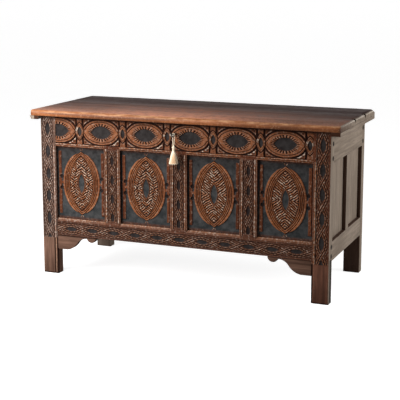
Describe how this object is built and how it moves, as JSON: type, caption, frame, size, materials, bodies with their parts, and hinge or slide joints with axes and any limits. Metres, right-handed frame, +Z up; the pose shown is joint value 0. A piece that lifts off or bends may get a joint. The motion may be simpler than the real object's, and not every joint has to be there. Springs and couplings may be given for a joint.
{
  "type": "coffer chest",
  "caption": "Joined oak coffer chest with carved panelled front, framed ends and back, hinged board lid, box lock with key and tassel.",
  "frame": {"origin": "centre of the closed chest's plan, from the key's bow to the hinge barrels, on the floor", "axes": "+X to the right of the carved front, +Y from the front to the back, +Z up"},
  "size_m": [1.33, 0.5974, 0.699],
  "materials": {
    "carved_oak": "waxed and worn carving",
    "panel_oak": "waxed carving, dark ground",
    "plain_oak": "dry dark oak",
    "lid_oak": "waxed dark oak",
    "peg_oak": "dark end grain",
    "wrought_iron": "forged, dark",
    "key_iron": "forged, worn bright",
    "tassel_silk": "silk threads"
  },
  "bodies": {
    "carcass": {"front_stile_left": "carved_oak", "front_stile_right": "carved_oak", "front_top_rail": "carved_oak", "front_bottom_rail": "carved_oak", "front_muntin_left": "carved_oak", "front_muntin_centre": "carved_oak", "front_muntin_right": "carved_oak", "bracket_left": "carved_oak", "bracket_right": "carved_oak", "front_panel_1": "panel_oak", "front_panel_2": "panel_oak", "front_panel_3": "panel_oak", "front_panel_4": "panel_oak", "rear_stile_left": "plain_oak", "rear_stile_right": "plain_oak", "back_top_rail": "plain_oak", "back_bottom_rail": "plain_oak", "back_muntin_left": "plain_oak", "back_muntin_right": "plain_oak", "back_panel_left": "plain_oak", "back_panel_centre": "plain_oak", "back_panel_right": "plain_oak", "floor_board_1": "plain_oak", "floor_board_2": "plain_oak", "floor_board_3": "plain_oak", "floor_board_4": "plain_oak", "left_end_top_rail": "plain_oak", "left_end_bottom_rail": "plain_oak", "left_end_muntin": "plain_oak", "left_end_panel_front": "plain_oak", "left_end_panel_rear": "plain_oak", "right_end_top_rail": "plain_oak", "right_end_bottom_rail": "plain_oak", "right_end_muntin": "plain_oak", "right_end_panel_front": "plain_oak", "right_end_panel_rear": "plain_oak", "front_pegs": "peg_oak", "back_pegs": "peg_oak", "end_pegs": "peg_oak", "hinge_leaf_left": "wrought_iron", "hinge_leaf_right": "wrought_iron", "hinge_pin_left": "wrought_iron", "hinge_pin_right": "wrought_iron", "lock_case": "wrought_iron", "lock_spring": "wrought_iron", "carcass_nails": "wrought_iron"},
    "lid": {"lid_front_board": "lid_oak", "lid_middle_board": "lid_oak", "lid_rear_board": "lid_oak", "lid_cleat_left": "lid_oak", "lid_cleat_right": "lid_oak", "hinge_strap_left": "wrought_iron", "hinge_strap_right": "wrought_iron", "lid_staple": "wrought_iron", "lid_nails": "wrought_iron"},
    "key": {"key": "key_iron"},
    "bolt": {"lock_bolt": "wrought_iron"},
    "tassel": {"tassel_cord": "tassel_silk", "tassel": "tassel_silk"}
  },
  "joints": [
    {"name": "lid_hinge", "type": "hinge", "parent": "carcass", "child": "lid", "pos_m": [0, 0.2927, 0.669], "axis": [-1, 0, 0], "range_deg": [0, 100]},
    {"name": "key_turn", "type": "hinge", "parent": "carcass", "child": "key", "pos_m": [-0.008, -0.2137, 0.632], "axis": [0, 1, 0], "range_deg": [0, 90]},
    {"name": "bolt_slide", "type": "slide", "parent": "carcass", "child": "bolt", "axis": [1, 0, 0], "range_m": [0, 0.017]},
    {"name": "tassel_swing", "type": "hinge", "parent": "carcass", "child": "tassel", "pos_m": [-0.008, -0.2717, 0.632], "axis": [0, 1, 0], "range_deg": [-40, 40]}
  ],
  "couplings": [
    {"joint": "bolt_slide", "follows": "key_turn", "m_per_rad": 0.01082}
  ]
}
